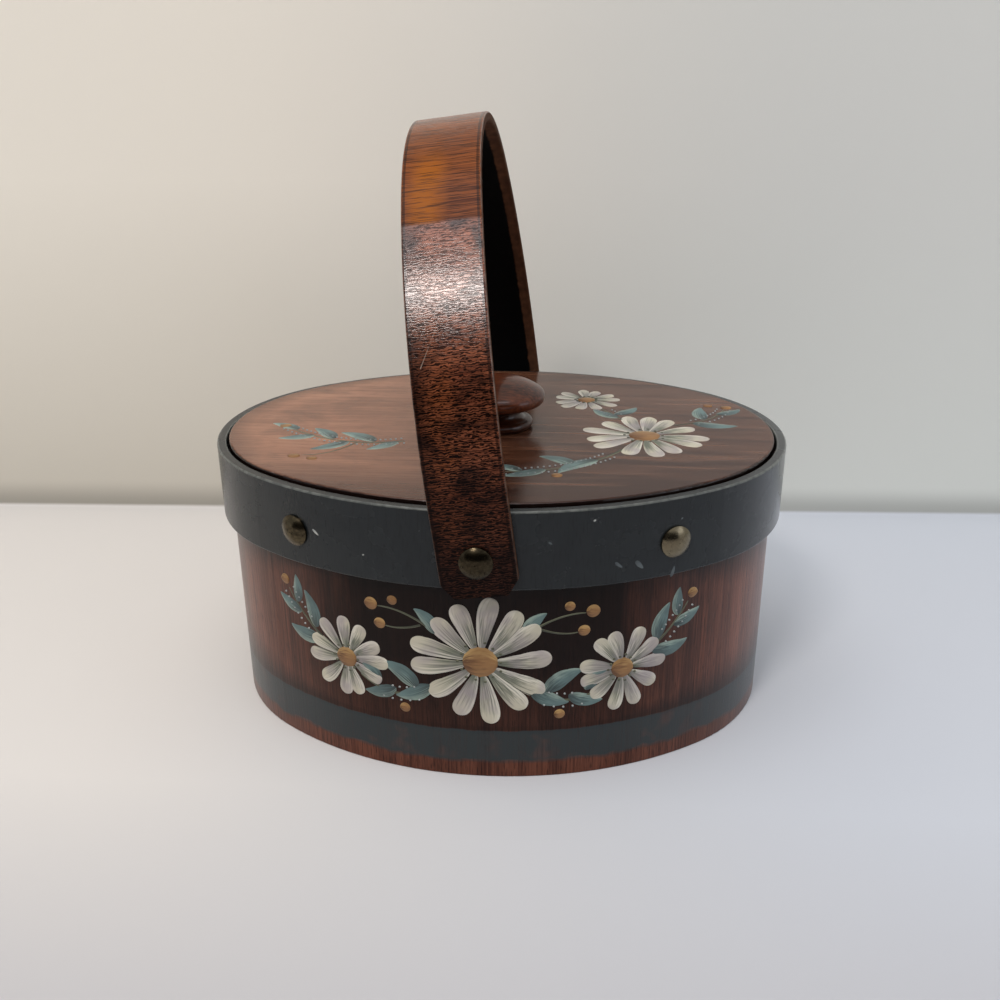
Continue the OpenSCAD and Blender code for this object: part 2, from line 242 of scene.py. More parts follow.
# Noise cells along and across one stroke, and the size over which strokes differ from each other
BRISTLE_CELLS = (2.2, 13, 0)
STROKES_APART = [1 / (11.1 * MM)] * 3


def acrylic(name, root, body, edge, veil, gloss):
    """Brushed acrylic: two colours blended along the stroke, a third loaded on one side of
    the brush, a thin veil in clouds, and bristle marks that let them show through each other."""
    material, tree = new_material(name)
    stroke = node(tree, "UVMap", uv_map="stroke")
    place = node(tree, "TexCoord").outputs["Object"]
    along, across, _ = node(tree, "SeparateXYZ", {0: stroke}).outputs
    combed = node(tree, "VectorMath", {0: stroke, 1: BRISTLE_CELLS}, operation="MULTIPLY")
    apart = node(tree, "VectorMath", {0: place, 1: STROKES_APART, 2: combed}, operation="MULTIPLY_ADD")
    bristle = node(tree, "TexNoise", {"Vector": apart, "Scale": 1, "Detail": 3})
    smear = node(tree, "MapRange", {0: bristle, 1: 0.3, 2: 0.7, 3: -0.22, 4: 0.22})
    to_tip = node(tree, "Math", {0: along, 1: smear}, operation="ADD")
    blend = node(tree, "MapRange", {0: to_tip, 1: 0.05, 2: 0.62}, interpolation_type="SMOOTHSTEP")
    body_mix = node(tree, "Mix", {MIX: blend, MIX_A: linear(root), MIX_B: linear(body)}, data_type="RGBA")
    to_side = node(tree, "Math", {0: across, 1: smear}, operation="ADD")
    load = node(tree, "MapRange", {0: to_side, 1: 0.5, 2: 1, 3: 0, 4: 0.85}, interpolation_type="SMOOTHSTEP")
    loaded = node(tree, "Mix", {MIX: load, MIX_A: body_mix, MIX_B: linear(edge)}, data_type="RGBA")
    cloud = node(tree, "TexNoise", {"Vector": place, "Scale": 1 / (9 * MM), "Detail": 2})
    thin = node(tree, "MapRange", {0: cloud, 1: 0.42, 2: 0.68, 3: 0, 4: 0.7})
    colour = node(tree, "Mix", {MIX: thin, MIX_A: loaded, MIX_B: linear(veil)}, data_type="RGBA")
    bump = node(tree, "Bump", {"Height": bristle, "Distance": 0.12 * MM, "Strength": 0.7})
    surface = node(tree, "BsdfPrincipled", {"Base Color": colour, "Roughness": gloss,
                                            "Normal": bump, "IOR": 1.49})
    node(tree, "OutputMaterial", {"Surface": surface})
    return material


cream_paint = acrylic("cream_acrylic", "#666b5c", "#c9c3ae", "#e4dfd0", "#a2979a", 0.38)
leaf_paint = acrylic("grey_teal_acrylic", "#303d3c", "#667f7d", "#9db0a3", "#475859", 0.4)
stem_paint = acrylic("olive_acrylic", "#333529", "#575a46", "#77775e", "#464839", 0.42)
ochre_paint = acrylic("ochre_acrylic", "#5d3b20", "#997043", "#bd9a64", "#7d5530", 0.4)
silver_paint = acrylic("silver_grey_acrylic", "#6d7373", "#9da3a2", "#c3c6c2", "#868c8b", 0.35)


def petal(centre, heading, start, end, half, bend, steps=20):
    """A rounded petal that leaves the flower's middle at a heading and turns by bend."""
    line = []
    for i in range(steps + 1):
        t = 1 - (1 - i / steps) ** 2
        angle = heading + bend * t * t
        reach = start + (end - start) * t
        wide = half * (0.18 + 0.82 * t**0.8) * math.sqrt(max(1 - t**6, 0)) + 0.05
        line.append((centre[0] + reach * math.cos(angle), centre[1] + reach * math.sin(angle), wide))
    return line


def leaf(foot, heading, length, half, curl, steps=18):
    """A comma stroke: it swells from its foot, turns by curl and runs out to a point."""
    u, v = foot
    line = []
    for i in range(steps + 1):
        t = i / steps
        line.append((u, v, half * math.sin(math.pi * t**0.75) ** 0.85 + 0.08))
        angle = heading + curl * t
        u += length / steps * math.cos(angle)
        v += length / steps * math.sin(angle)
    return line


def dot(centre, radius, steps=12):
    """A round dab of paint."""
    line = []
    for i in range(steps + 1):
        x = -math.cos(math.pi * i / steps)
        line.append((centre[0] + radius * x, centre[1], radius * math.sqrt(1 - x * x) + 0.02))
    return line


def stem(points, half, steps=24):
    """A thin line through three points, bent smoothly through the middle one."""
    (u0, v0), (um, vm), (u1, v1) = points
    ctrl = (2 * um - (u0 + u1) / 2, 2 * vm - (v0 + v1) / 2)
    line = []
    for i in range(steps + 1):
        t = i / steps
        a, b, c = (1 - t) ** 2, 2 * t * (1 - t), t * t
        line.append((a * u0 + b * ctrl[0] + c * u1, a * v0 + b * ctrl[1] + c * v1, half * (1 - 0.55 * t)))
    return line


def dot_row(points, gap, spacing):
    """The middles of a row of fine dots beside a stem, gap mm to its left."""
    line = stem(points, 1)
    row, since = [], spacing
    for (u0, v0, _), (u1, v1, _) in zip(line, line[1:]):
        run = Vector((u1 - u0, v1 - v0))
        since += run.length
        if since >= spacing:
            since = 0
            run.normalize()
            row.append((u1 - run.y * gap, v1 + run.x * gap))
    return row


def daisy(centre, radius, petals, hand):
    """The petals of one daisy, each a little different, as a hand leaves them."""
    eye = radius * 0.2
    strokes = []
    for k in range(petals):
        heading = 2 * math.pi * k / petals + hand.uniform(-0.07, 0.07)
        reach = radius * hand.uniform(0.92, 1.04)
        strokes.append(petal(centre, heading, eye, reach, radius * 2.5 / petals, hand.uniform(-0.1, 0.1)))
    return strokes


# Stems with at least this half width have a row of fine dots on each side
LONG_STEM_HALF = 0.7
DOT_GAP, DOT_SPACING, DOT_R = 2.6, 1.9, 0.38
SPECKS, SPECK_R = 14, 0.5


def spray(name, on_face, body, flowers, leaves, stems, berries, seed):
    """A whole painted spray: stems first, then leaves, dots, berries and flowers over them."""
    hand = random.Random(seed)
    long_stems = [points for points, half in stems if half >= LONG_STEM_HALF]
    rows = [dot_row(points, gap, DOT_SPACING) for points in long_stems for gap in (-DOT_GAP, DOT_GAP)]
    clear = [spot for row in rows for spot in row
             if all(math.dist(spot, centre) > radius * 1.08 for centre, radius, _ in flowers)]
    under, over, eyes, specks = [], [], [], []
    for centre, radius, petals in flowers:
        ring = daisy(centre, radius, petals, hand)
        under += ring[::2]
        over += ring[1::2]
        eyes.append(dot(centre, radius * 0.25))
        for k in range(SPECKS):
            angle = 2 * math.pi * k / SPECKS
            reach = radius * (0.29 + 0.03 * (k % 2))
            spot = (centre[0] + reach * math.cos(angle), centre[1] + reach * math.sin(angle))
            specks.append(dot(spot, SPECK_R))
    # Each part of the spray: its strokes, how far they are crowned, their layer, and their paint
    for part, strokes, lift, layer, paint in (
        ("stems", [stem(*shape) for shape in stems], 0.08, 0.06, stem_paint),
        ("leaves", [leaf(*shape) for shape in leaves], 0.14, 0.1, leaf_paint),
        ("dots", [dot(spot, DOT_R, 6) for spot in clear], 0.2, 0.24, silver_paint),
        ("berries", [dot(*shape) for shape in berries], 0.3, 0.12, ochre_paint),
        ("petals_under", under, 0.12, 0.16, cream_paint),
        ("petals_over", over, 0.14, 0.22, cream_paint),
        ("eyes", eyes, 0.3, 0.3, ochre_paint),
        ("specks", specks, 0.2, 0.3, stem_paint),
    ):
        brush(f"{name}_{part}", strokes, on_face, lift, layer, paint, body)


# Flowers as middle, radius and petals; stems as three points and half width; leaves as foot,
# heading, length, half width and curl; berries as middle and radius. All but the flowers are
# given for the right half and mirrored to the left
WALL_FLOWERS = [((0, 46.5), 24, 13), ((-49, 41), 16, 11), ((49, 41), 16, 11)]
HALF_STEMS = [
    (((8, 40), (27, 31), (44, 36)), 0.8), (((56, 44), (66, 52), (74, 62)), 0.7),
    (((12, 54), (24, 62), (36, 64)), 0.6), (((20, 59), (27, 57), (33, 57)), 0.5),
]
HALF_LEAVES = [
    ((17, 36), -0.75, 15, 3.0, 0.7), ((22, 34), 0.95, 16, 3.2, -0.8), ((30, 33), -0.6, 13, 2.6, 0.7),
    ((36, 34), 1.1, 11, 2.5, -0.7), ((60, 46), -0.35, 15, 3.0, 0.9), ((62, 49), 1.6, 15, 2.9, -0.7),
    ((68, 54), 0.1, 12, 2.4, 0.6), ((70, 57), 1.8, 11, 2.3, -0.5), ((15, 56), 1.3, 12, 2.5, -0.9),
]
HALF_BERRIES = [
    ((38, 64.5), 2.4), ((35, 57.5), 2.1), ((30, 67), 1.8), ((75.5, 64.5), 2.0), ((27, 25.5), 1.9),
]
wall_stems, wall_leaves, wall_berries = [], [], []
for side in (-1, 1):
    wall_stems += [([(side * u, v) for u, v in points], half) for points, half in HALF_STEMS]
    for (u, v), heading, length, half, curl in HALF_LEAVES:
        mirrored = heading if side > 0 else math.pi - heading
        wall_leaves.append(((side * u, v), mirrored, length, half, side * curl))
    wall_berries += [((side * u, v), radius) for (u, v), radius in HALF_BERRIES]
spray("wall_spray", on_wall, "box", WALL_FLOWERS, wall_leaves, wall_stems, wall_berries, 5)

# Top hoop: a second bent strip glued and riveted round the rim, painted slate grey.
# The paint is thin over open grain, rubbed pale along the rim with a painted highlight there,
# polished by handling at the right end and flecked with small chips.

hoop_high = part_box("top_hoop")[1]
ARRIS_DEPTH = 3 * MM

# Slate-grey eggshell paint on wood: satin, with upright pores showing through and a worn arris
# that also carries a painted highlight
slate_paint, tree = new_material("slate_eggshell_paint")
coords = node(tree, "TexCoord")
place = coords.outputs["Object"]
x, _, z = node(tree, "SeparateXYZ", {0: place}).outputs
faces_up = node(tree, "SeparateXYZ", {0: coords.outputs["Normal"]}).outputs["Z"]
pore_size = (1 / (0.5 * MM), 1 / (0.5 * MM), 1 / (5 * MM))
fine = node(tree, "VectorMath", {0: place, 1: pore_size}, operation="MULTIPLY")
telegraph = node(tree, "TexNoise", {"Vector": fine, "Scale": 1, "Detail": 2})
patches = node(tree, "TexNoise", {"Vector": place, "Scale": 1 / (14.3 * MM), "Detail": 4})
cloudy = node(tree, "Mix", {MIX: patches, MIX_A: linear("#171b1d"), MIX_B: linear("#262b2d")},
              data_type="RGBA")
pore = node(tree, "MapRange", {0: telegraph, 1: 0.52, 2: 0.72, 3: 0, 4: 0.6})
pored = node(tree, "Mix", {MIX: pore, MIX_A: cloudy, MIX_B: linear("#121516")}, data_type="RGBA")
# The arris round the top is rubbed pale and carries a painted highlight, so only where the face
# turns from upright to level
rub = node(tree, "TexNoise", {"Vector": place, "Scale": 1 / (2.38 * MM), "Detail": 4})
turning = node(tree, "Math", {0: faces_up, 1: 0.55, 2: 0.42}, operation="COMPARE")
on_top = node(tree, "Math", {0: z, 1: hoop_high.z - ARRIS_DEPTH}, operation="GREATER_THAN")
arris = node(tree, "Math", {0: turning, 1: on_top}, operation="MULTIPLY")
worn = node(tree, "MapRange", {0: rub, 1: 0.35, 2: 0.65, 3: 0.4, 4: 0.85})
rim = node(tree, "Math", {0: arris, 1: worn}, operation="MULTIPLY")
wear_and_highlight = node(tree, "Mix", {MIX: rim, MIX_A: pored, MIX_B: linear("#71746f")}, data_type="RGBA")
sheen = node(tree, "MapRange", {0: patches, 1: 0.3, 2: 0.7, 3: 0.22, 4: 0.32})
bump = node(tree, "Bump", {"Height": telegraph, "Distance": 0.05 * MM, "Strength": 0.6}, invert=True)
# The right end is polished by handling
polished = node(tree, "MapRange", {0: x, 1: 75 * MM, 2: 105 * MM, 3: 0, 4: 0.6})
surface = node(tree, "BsdfPrincipled", {"Base Color": wear_and_highlight, "Roughness": sheen,
                                        "Normal": bump, "IOR": 1.5, "Specular IOR Level": 0.34,
                                        "Coat Weight": polished, "Coat Roughness": 0.3})
node(tree, "OutputMaterial", {"Surface": surface})
dress(slate_paint, "top_hoop")

# Chips down to the pale primer and duller rubs, each (mm round, mm up, heading, length, half width)
HOOP_CHIPS = [(-56.8, 89.8, -0.75, 3.2, 0.42), (36, 98.6, 0.4, 1.0, 0.35), (-38, 84, 0.3, 0.8, 0.2)]
HOOP_RUBS = [
    (63.5, 74.6, 1.2, 4.2, 0.6), (50.5, 83, -0.95, 4.4, 0.9), (43.5, 83.4, -0.8, 3.6, 0.5),
    (22, 92.4, -0.7, 1.6, 0.3), (66, 95, 0.5, 1.0, 0.3),
]
MARK_CURL, MARK_STEPS, MARK_LIFT, MARK_LAYER = 0.2, 8, 0.03, 0.05
hoop_t = (hoop_high.y - wall_high.y) / MM


def on_hoop(along, up, out):
    """A point on the front of the hoop, as on_wall() but off the hoop's own face."""
    return on_wall(along, up, hoop_t + out)


primer = acrylic("chipped_primer", "#8f9593", "#c2c4bd", "#a4a9a6", "#b4b7b2", 0.6)
rubbed_paint = acrylic("rubbed_slate_paint", "#3f4548", "#60686a", "#50585a", "#4a5255", 0.5)
for name, marks, paint in (("hoop_chips", HOOP_CHIPS, primer), ("hoop_rubs", HOOP_RUBS, rubbed_paint)):
    strokes = [leaf((u, v), heading, length, half, MARK_CURL, MARK_STEPS)
               for u, v, heading, length, half in marks]
    brush(name, strokes, on_hoop, MARK_LIFT, MARK_LAYER, paint, "box")

# Rivets and washers: low-domed solid rivets of aged brass, set from outside and clinched
# over a washer inside. Two of them carry the handle.

# Aged brass: brown patina worn through in fine specks, smooth enough to mirror light and dark
aged_brass, tree = new_material("aged_brass")
place = node(tree, "TexCoord").outputs["Object"]
mottle = node(tree, "TexNoise", {"Vector": place, "Scale": 1 / (1.111 * MM), "Detail": 5, "Roughness": 0.6})
patina = node(tree, "MapRange", {0: mottle, 1: 0.28, 2: 0.72})
brass = node(tree, "Mix", {MIX: patina, MIX_A: linear("#2f2a20"), MIX_B: linear("#685d48")}, data_type="RGBA")
# The handle's rivets are painted darker, a painted dark reflection, and those to the right are
# painted brighter, a painted reflection of light from the right
x = node(tree, "SeparateXYZ", {0: place}).outputs["X"]
off_middle = node(tree, "Math", {0: x}, operation="ABSOLUTE")
painted_dark_reflection = node(tree, "MapRange", {0: off_middle, 1: 20 * MM, 2: 40 * MM, 3: 0.5, 4: 0})
darkened_brass = node(tree, "Mix", {MIX: painted_dark_reflection, MIX_A: brass, MIX_B: linear("#17130e")}, data_type="RGBA")
painted_bright_reflection = node(tree, "MapRange", {0: x, 1: 20 * MM, 2: 40 * MM, 3: 0, 4: 0.38})
colour = node(tree, "Mix", {MIX: painted_bright_reflection, MIX_A: darkened_brass, MIX_B: linear("#a79a80")}, data_type="RGBA")
dull = node(tree, "MapRange", {0: mottle, 1: 0.3, 2: 0.7, 3: 0.3, 4: 0.19})
bump = node(tree, "Bump", {"Height": mottle, "Distance": 0.05 * MM, "Strength": 0.6})
surface = node(tree, "BsdfPrincipled", {"Base Color": colour, "Metallic": 1,
                                        "Roughness": dull, "Normal": bump})
node(tree, "OutputMaterial", {"Surface": surface})
dress(aged_brass, *[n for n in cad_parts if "rivet" in n or "washer" in n])

# Swing handle: a strip of mahogany-faced ply steamed over a former, its face grain across
# the strip. The outside is stained dark and varnished to a gloss that has crinkled with age,
# the inside is painted black, and the edges and margins are bare wood.

# The pivot's height, the lean at rest and half the strip's width, as in the solids
PIVOT_Z = 87 * MM
LEAN = math.radians(7)
HANDLE_HALF = 12.7 * MM

# Gloss varnish over cross-grained mahogany: crinkled on the legs, smooth and amber over the crown
handle_wood, tree = new_material("glossy_mahogany_handle")
coords = node(tree, "TexCoord")
place = coords.outputs["Object"]
upright = node(tree, "VectorRotate", {"Vector": place, "Center": (0, 0, PIVOT_Z),
                                      "Axis": (0, 1, 0), "Angle": LEAN})
facing = node(tree, "VectorRotate", {"Vector": coords.outputs["Normal"], "Axis": (0, 1, 0), "Angle": LEAN})
x, y, z = node(tree, "SeparateXYZ", {0: upright}).outputs
leg_wood = mahogany(tree, upright, 0, "#683522", "#b66b49", (7, 24), (0.8, 9), (0.35, 4), 0.5)[0]
# An amber figure runs up the strip 5 mm left of its middle, swaying by 6 mm each way
SWAY = 12 * MM
sway = node(tree, "TexNoise", {"Vector": upright, "Scale": 1 / (25 * MM), "Detail": 2})
sway_x = node(tree, "Math", {0: sway, 1: SWAY, 2: x}, operation="MULTIPLY_ADD")
off_figure = node(tree, "Math", {0: sway_x, 1: SWAY / 2 - 5 * MM}, operation="SUBTRACT")
figure_gap = node(tree, "Math", {0: off_figure}, operation="ABSOLUTE")
figure = node(tree, "MapRange", {0: figure_gap, 1: 8.5 * MM, 2: 1.5 * MM}, interpolation_type="SMOOTHSTEP")
fleck = node(tree, "TexNoise", {"Vector": upright, "Scale": 1 / (9.09 * MM), "Detail": 3})
broken = node(tree, "MapRange", {0: fleck, 1: 0.35, 2: 0.65, 3: 0.1, 4: 0.6})
fading = node(tree, "MapRange", {0: z, 1: PIVOT_Z + 88 * MM, 2: PIVOT_Z + 64 * MM, 3: 0.15, 4: 1})
faint = node(tree, "Math", {0: figure, 1: fading}, operation="MULTIPLY")
glow = node(tree, "Math", {0: faint, 1: broken}, operation="MULTIPLY")
figured = node(tree, "Mix", {MIX: glow, MIX_A: leg_wood, MIX_B: linear("#985328")}, data_type="RGBA")
# The stain gathered along the left margin
STAIN = "#1e0d08"
gathered = node(tree, "MapRange", {0: sway_x, 1: SWAY / 2 - 6 * MM, 2: SWAY / 2 - 12 * MM, 3: 0, 4: 0.65})
margined = node(tree, "Mix", {MIX: gathered, MIX_A: figured, MIX_B: linear(STAIN)}, data_type="RGBA")
# Elsewhere it lies in blotches about 10 mm long
blots = node(tree, "TexNoise", {"Vector": upright, "Scale": 1 / (10 * MM), "Detail": 4, "Distortion": 0.7})
blotch = node(tree, "MapRange", {0: blots, 1: 0.5, 2: 0.7, 3: 0, 4: 0.8})
blotched = node(tree, "Mix", {MIX: blotch, MIX_A: margined, MIX_B: linear(STAIN)}, data_type="RGBA")
# Towards the foot the stain was laid on twice, and painted shade over it sinks the colour to
# near black
foot = node(tree, "MapRange", {0: z, 1: PIVOT_Z + 82 * MM, 2: PIVOT_Z - 4 * MM, 3: 0, 4: 0.92})
footed = node(tree, "Mix", {MIX: foot, MIX_A: blotched, MIX_B: linear("#2b1711")}, data_type="RGBA")
# Crinkle: ripples across the strip that wander and break every few millimetres. Their valleys
# are coloured dark, most of all towards the feet, and are shallower where the varnish is thick
RIDGE_STEP, RIDGE_WANDER = 0.76 * MM, 2.6 * MM
wander_size = (1 / (2.6 * MM), 1 / (0.9 * MM), 1 / (0.9 * MM))
wander_at = node(tree, "VectorMath", {0: upright, 1: wander_size}, operation="MULTIPLY")
wander = node(tree, "TexNoise", {"Vector": wander_at, "Scale": 1, "Detail": 3})
wandered = node(tree, "Math", {0: wander, 1: RIDGE_WANDER, 2: z}, operation="MULTIPLY_ADD")
phase = node(tree, "Math", {0: wandered, 1: 2 * math.pi / RIDGE_STEP}, operation="MULTIPLY")
ripple = node(tree, "Math", {0: phase}, operation="SINE")
swell = node(tree, "Math", {0: wander, 1: 0.55, 2: 0.22}, operation="MULTIPLY_ADD")
ridges = node(tree, "Math", {0: ripple, 1: 0.2, 2: swell}, operation="MULTIPLY_ADD")
sunk = node(tree, "Math", {0: foot, 1: -0.14, 2: ridges}, operation="MULTIPLY_ADD")
cut = node(tree, "MapRange", {0: sunk, 1: 0.55, 2: 0.35, 3: 0, 4: 0.98})
shallow = node(tree, "MapRange", {0: z, 1: PIVOT_Z + 55 * MM, 2: PIVOT_Z + 88 * MM, 3: 1, 4: 0.74})
valley = node(tree, "Math", {0: cut, 1: shallow}, operation="MULTIPLY")
leg = node(tree, "Mix", {MIX: valley, MIX_A: footed, MIX_B: linear("#050201")}, data_type="RGBA")
# Over the shoulder of the arch the veneer turns smooth, with thin straight lines, and is amber
# up to the bend
crown_wood = mahogany(tree, upright, 0, "#552711", "#965328", (6, 60), (1.2, 40), (0.3, 12), 0.6)[0]
bend = node(tree, "MapRange", {0: z, 1: PIVOT_Z + 122 * MM, 2: PIVOT_Z + 115 * MM, 3: 0.1, 4: 0.8})
amber = node(tree, "Math", {0: figure, 1: bend}, operation="MULTIPLY", use_clamp=True)
crown = node(tree, "Mix", {MIX: amber, MIX_A: crown_wood, MIX_B: linear("#a45b06")}, data_type="RGBA")
line_size = (1 / (9 * MM), 1 / (0.34 * MM), 1 / (0.34 * MM))
line_place = node(tree, "VectorMath", {0: upright, 1: line_size}, operation="MULTIPLY")
lines = node(tree, "TexNoise", {"Vector": line_place, "Scale": 1, "Detail": 1})
line = node(tree, "MapRange", {0: lines, 1: 0.48, 2: 0.39, 3: 0, 4: 0.68})
lined = node(tree, "Mix", {MIX: line, MIX_A: crown, MIX_B: linear("#200e07")}, data_type="RGBA")
wave = node(tree, "TexNoise", {"Vector": upright, "Scale": 1 / (16.67 * MM), "Detail": 1})
wavy_z = node(tree, "Math", {0: wave, 1: 2 * MM, 2: z}, operation="MULTIPLY_ADD")
SHOULDER = PIVOT_Z + 101.6 * MM
shoulder = node(tree, "MapRange", {0: wavy_z, 1: SHOULDER, 2: SHOULDER + 1.4 * MM},
                interpolation_type="SMOOTHSTEP")
varnished = node(tree, "Mix", {MIX: shoulder, MIX_A: leg, MIX_B: lined}, data_type="RGBA")
# Both arrises carry a painted highlight, broken in places and fading towards the feet, with a
# dark line just inside them
off_middle = node(tree, "Math", {0: x}, operation="ABSOLUTE")
ragged = node(tree, "TexNoise", {"Vector": upright, "Scale": 1 / (3.333 * MM), "Detail": 2})
inside_arris = node(tree, "Math", {0: off_middle, 1: HANDLE_HALF - 1.0 * MM, 2: 0.4 * MM}, operation="COMPARE")
seam = node(tree, "Math", {0: inside_arris, 1: 0.6}, operation="MULTIPLY")
dark_lined = node(tree, "Mix", {MIX: seam, MIX_A: varnished, MIX_B: linear("#0d0504")}, data_type="RGBA")
arris = node(tree, "MapRange", {0: off_middle, 1: HANDLE_HALF - 0.4 * MM, 2: HANDLE_HALF - 0.15 * MM})
patchy = node(tree, "MapRange", {0: ragged, 1: 0.35, 2: 0.65, 3: 0.1, 4: 0.75})
lessened = node(tree, "MapRange", {0: foot, 1: 0.3, 2: 0.9, 3: 1, 4: 0.3})
wear_and_highlight = node(tree, "Math", {0: arris, 1: patchy}, operation="MULTIPLY")
arris_highlight = node(tree, "Math", {0: wear_and_highlight, 1: lessened}, operation="MULTIPLY")
edged = node(tree, "Mix", {MIX: arris_highlight, MIX_A: dark_lined, MIX_B: linear("#8d786b")}, data_type="RGBA")
# One long scratch on the front leg, down to the pale wood
SCRATCH_AT, SCRATCH_HALF, SCRATCH_W = (-6.4 * MM, 0, PIVOT_Z + 67.2 * MM), 5.8 * MM, 0.15 * MM
SCRATCH_LEAN = math.radians(28)
from_scratch = node(tree, "VectorMath", {0: upright, 1: SCRATCH_AT}, operation="SUBTRACT")
lengthways = (math.sin(SCRATCH_LEAN), 0, math.cos(SCRATCH_LEAN))
sideways = (math.cos(SCRATCH_LEAN), 0, -math.sin(SCRATCH_LEAN))
along = node(tree, "VectorMath", {0: from_scratch, 1: lengthways}, operation="DOT_PRODUCT")
across = node(tree, "VectorMath", {0: from_scratch, 1: sideways}, operation="DOT_PRODUCT")
on_line = node(tree, "Math", {0: across, 1: 0, 2: SCRATCH_W}, operation="COMPARE")
in_length = node(tree, "Math", {0: along, 1: 0, 2: SCRATCH_HALF}, operation="COMPARE")
in_front = node(tree, "Math", {0: y, 1: 0}, operation="LESS_THAN")
line_here = node(tree, "Math", {0: on_line, 1: in_length}, operation="MULTIPLY")
on_front = node(tree, "Math", {0: line_here, 1: in_front}, operation="MULTIPLY")
scratch = node(tree, "Math", {0: on_front, 1: patchy}, operation="MULTIPLY")
veneer = node(tree, "Mix", {MIX: scratch, MIX_A: edged, MIX_B: linear("#a48f80")}, data_type="RGBA")
# Inside face: black paint up to a bare margin; edges: bare ply
arch_middle = (0, 0, PIVOT_Z + 50 * MM)
spoke = node(tree, "VectorMath", {0: upright, 1: arch_middle}, operation="SUBTRACT")
radial = node(tree, "VectorMath", {0: spoke}, operation="NORMALIZE")
towards = node(tree, "VectorMath", {0: facing, 1: radial}, operation="DOT_PRODUCT")
outer = node(tree, "MapRange", {0: towards, 1: 0.3, 2: 0.45})
inside = node(tree, "MapRange", {0: towards, 1: -0.3, 2: -0.45})
ragged_x = node(tree, "Math", {0: ragged, 1: 1.0 * MM, 2: off_middle}, operation="MULTIPLY_ADD")
painted = node(tree, "MapRange", {0: ragged_x, 1: HANDLE_HALF - 3.2 * MM, 2: HANDLE_HALF - 3.9 * MM})
black = node(tree, "Math", {0: painted, 1: inside}, operation="MULTIPLY")
ply = node(tree, "Mix", {MIX: ragged, MIX_A: linear("#2a1811"), MIX_B: linear("#6a4630")}, data_type="RGBA")
faced = node(tree, "Mix", {MIX: outer, MIX_A: ply, MIX_B: veneer}, data_type="RGBA")
colour = node(tree, "Mix", {MIX: black, MIX_A: faced, MIX_B: linear("#010101")}, data_type="RGBA")
smoothing = node(tree, "MapRange", {0: shoulder, 1: 0, 2: 1, 3: 1, 4: 0.08})
crinkle = node(tree, "Math", {0: ridges, 1: smoothing}, operation="MULTIPLY")
bump = node(tree, "Bump", {"Height": crinkle, "Distance": 0.04 * MM, "Strength": 0.8})
matt = node(tree, "MapRange", {0: outer, 1: 0, 2: 1, 3: 0.75, 4: 0.3})
# The varnish is thick on the upper legs and left on the very top, rubbed away over the rest of
# the crown and towards the feet, and thin in the valleys
film = node(tree, "MapRange", {0: z, 1: PIVOT_Z + 25 * MM, 2: PIVOT_Z + 72 * MM, 3: 0.02, 4: 1})
bare_crown = node(tree, "MapRange", {0: shoulder, 1: 0, 2: 1, 3: 1, 4: 0.1})
top_film = node(tree, "MapRange", {0: z, 1: PIVOT_Z + 118 * MM, 2: PIVOT_Z + 129 * MM, 3: 0, 4: 0.6})
left_on = node(tree, "Math", {0: bare_crown, 1: top_film}, operation="ADD", use_clamp=True)
laid = node(tree, "Math", {0: film, 1: left_on}, operation="MULTIPLY")
proud = node(tree, "MapRange", {0: valley, 1: 0, 2: 0.98, 3: 1, 4: 0.24})
filmed = node(tree, "Math", {0: laid, 1: proud}, operation="MULTIPLY")
glossy = node(tree, "Math", {0: filmed, 1: outer}, operation="MULTIPLY")
surface = node(tree, "BsdfPrincipled", {"Base Color": colour, "Roughness": matt,
                                        "Normal": bump, "IOR": 1.5, "Specular IOR Level": 0.08,
                                        "Coat Weight": glossy, "Coat Roughness": 0.18,
                                        "Coat Normal": bump})
node(tree, "OutputMaterial", {"Surface": surface})
dress(handle_wood, "handle")

# Lid: a flat oval board of the same wood with its grain along the box, dropped in on the
# wall's top edge. The face is varnished, the rim is dark, and a spray is painted on it.

lid_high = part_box("lid_panel")[1]
CLOUDS_PER_HALF = 3.2

# Varnished mahogany lid: long faint streaks under a smooth film that mirrors the room
lid_wood, tree = new_material("varnished_mahogany_lid")
place = node(tree, "TexCoord").outputs["Object"]
x, y, z = node(tree, "SeparateXYZ", {0: place}).outputs
wood, grain = mahogany(tree, place, 0, "#865740", "#ae7a5d", (16, 120), (1.6, 40), (0.4, 6), 0.35)
# The same brown glaze, wiped along the grain over the right half and in faint clouds elsewhere.
# The lid is also darker towards the front, round the rim and along the front edge
cloud = node(tree, "TexNoise", {"Vector": place, "Scale": 1 / (33.33 * MM), "Detail": 3})
drift = node(tree, "Math", {0: cloud, 1: 50 * MM, 2: x}, operation="MULTIPLY_ADD")
right = node(tree, "MapRange", {0: drift, 1: -52 * MM, 2: 40 * MM, 3: 0, 4: 0.88},
             interpolation_type="SMOOTHSTEP")
pull_size = (1 / (55 * MM), 1 / (5 * MM), 0)
pulls = node(tree, "VectorMath", {0: place, 1: pull_size}, operation="MULTIPLY")
pulled = node(tree, "TexNoise", {"Vector": pulls, "Scale": 1, "Detail": 4, "Distortion": 0.5})
uneven = node(tree, "MapRange", {0: pulled, 1: 0.3, 2: 0.7, 3: 0.68, 4: 1.1})
oval = node(tree, "VectorMath", {0: place, 1: (1 / lid_high.x, 1 / lid_high.y, 0)}, operation="MULTIPLY")
reach = node(tree, "VectorMath", {0: oval}, operation="LENGTH")
ragged = node(tree, "Math", {0: cloud, 1: 0.12, 2: reach}, operation="MULTIPLY_ADD")
rim = node(tree, "MapRange", {0: ragged, 1: 0.94, 2: 1.08, 3: 0, 4: 0.7})
smoke = node(tree, "TexNoise", {"Vector": oval, "Scale": CLOUDS_PER_HALF, "Detail": 5, "Distortion": 0.8})
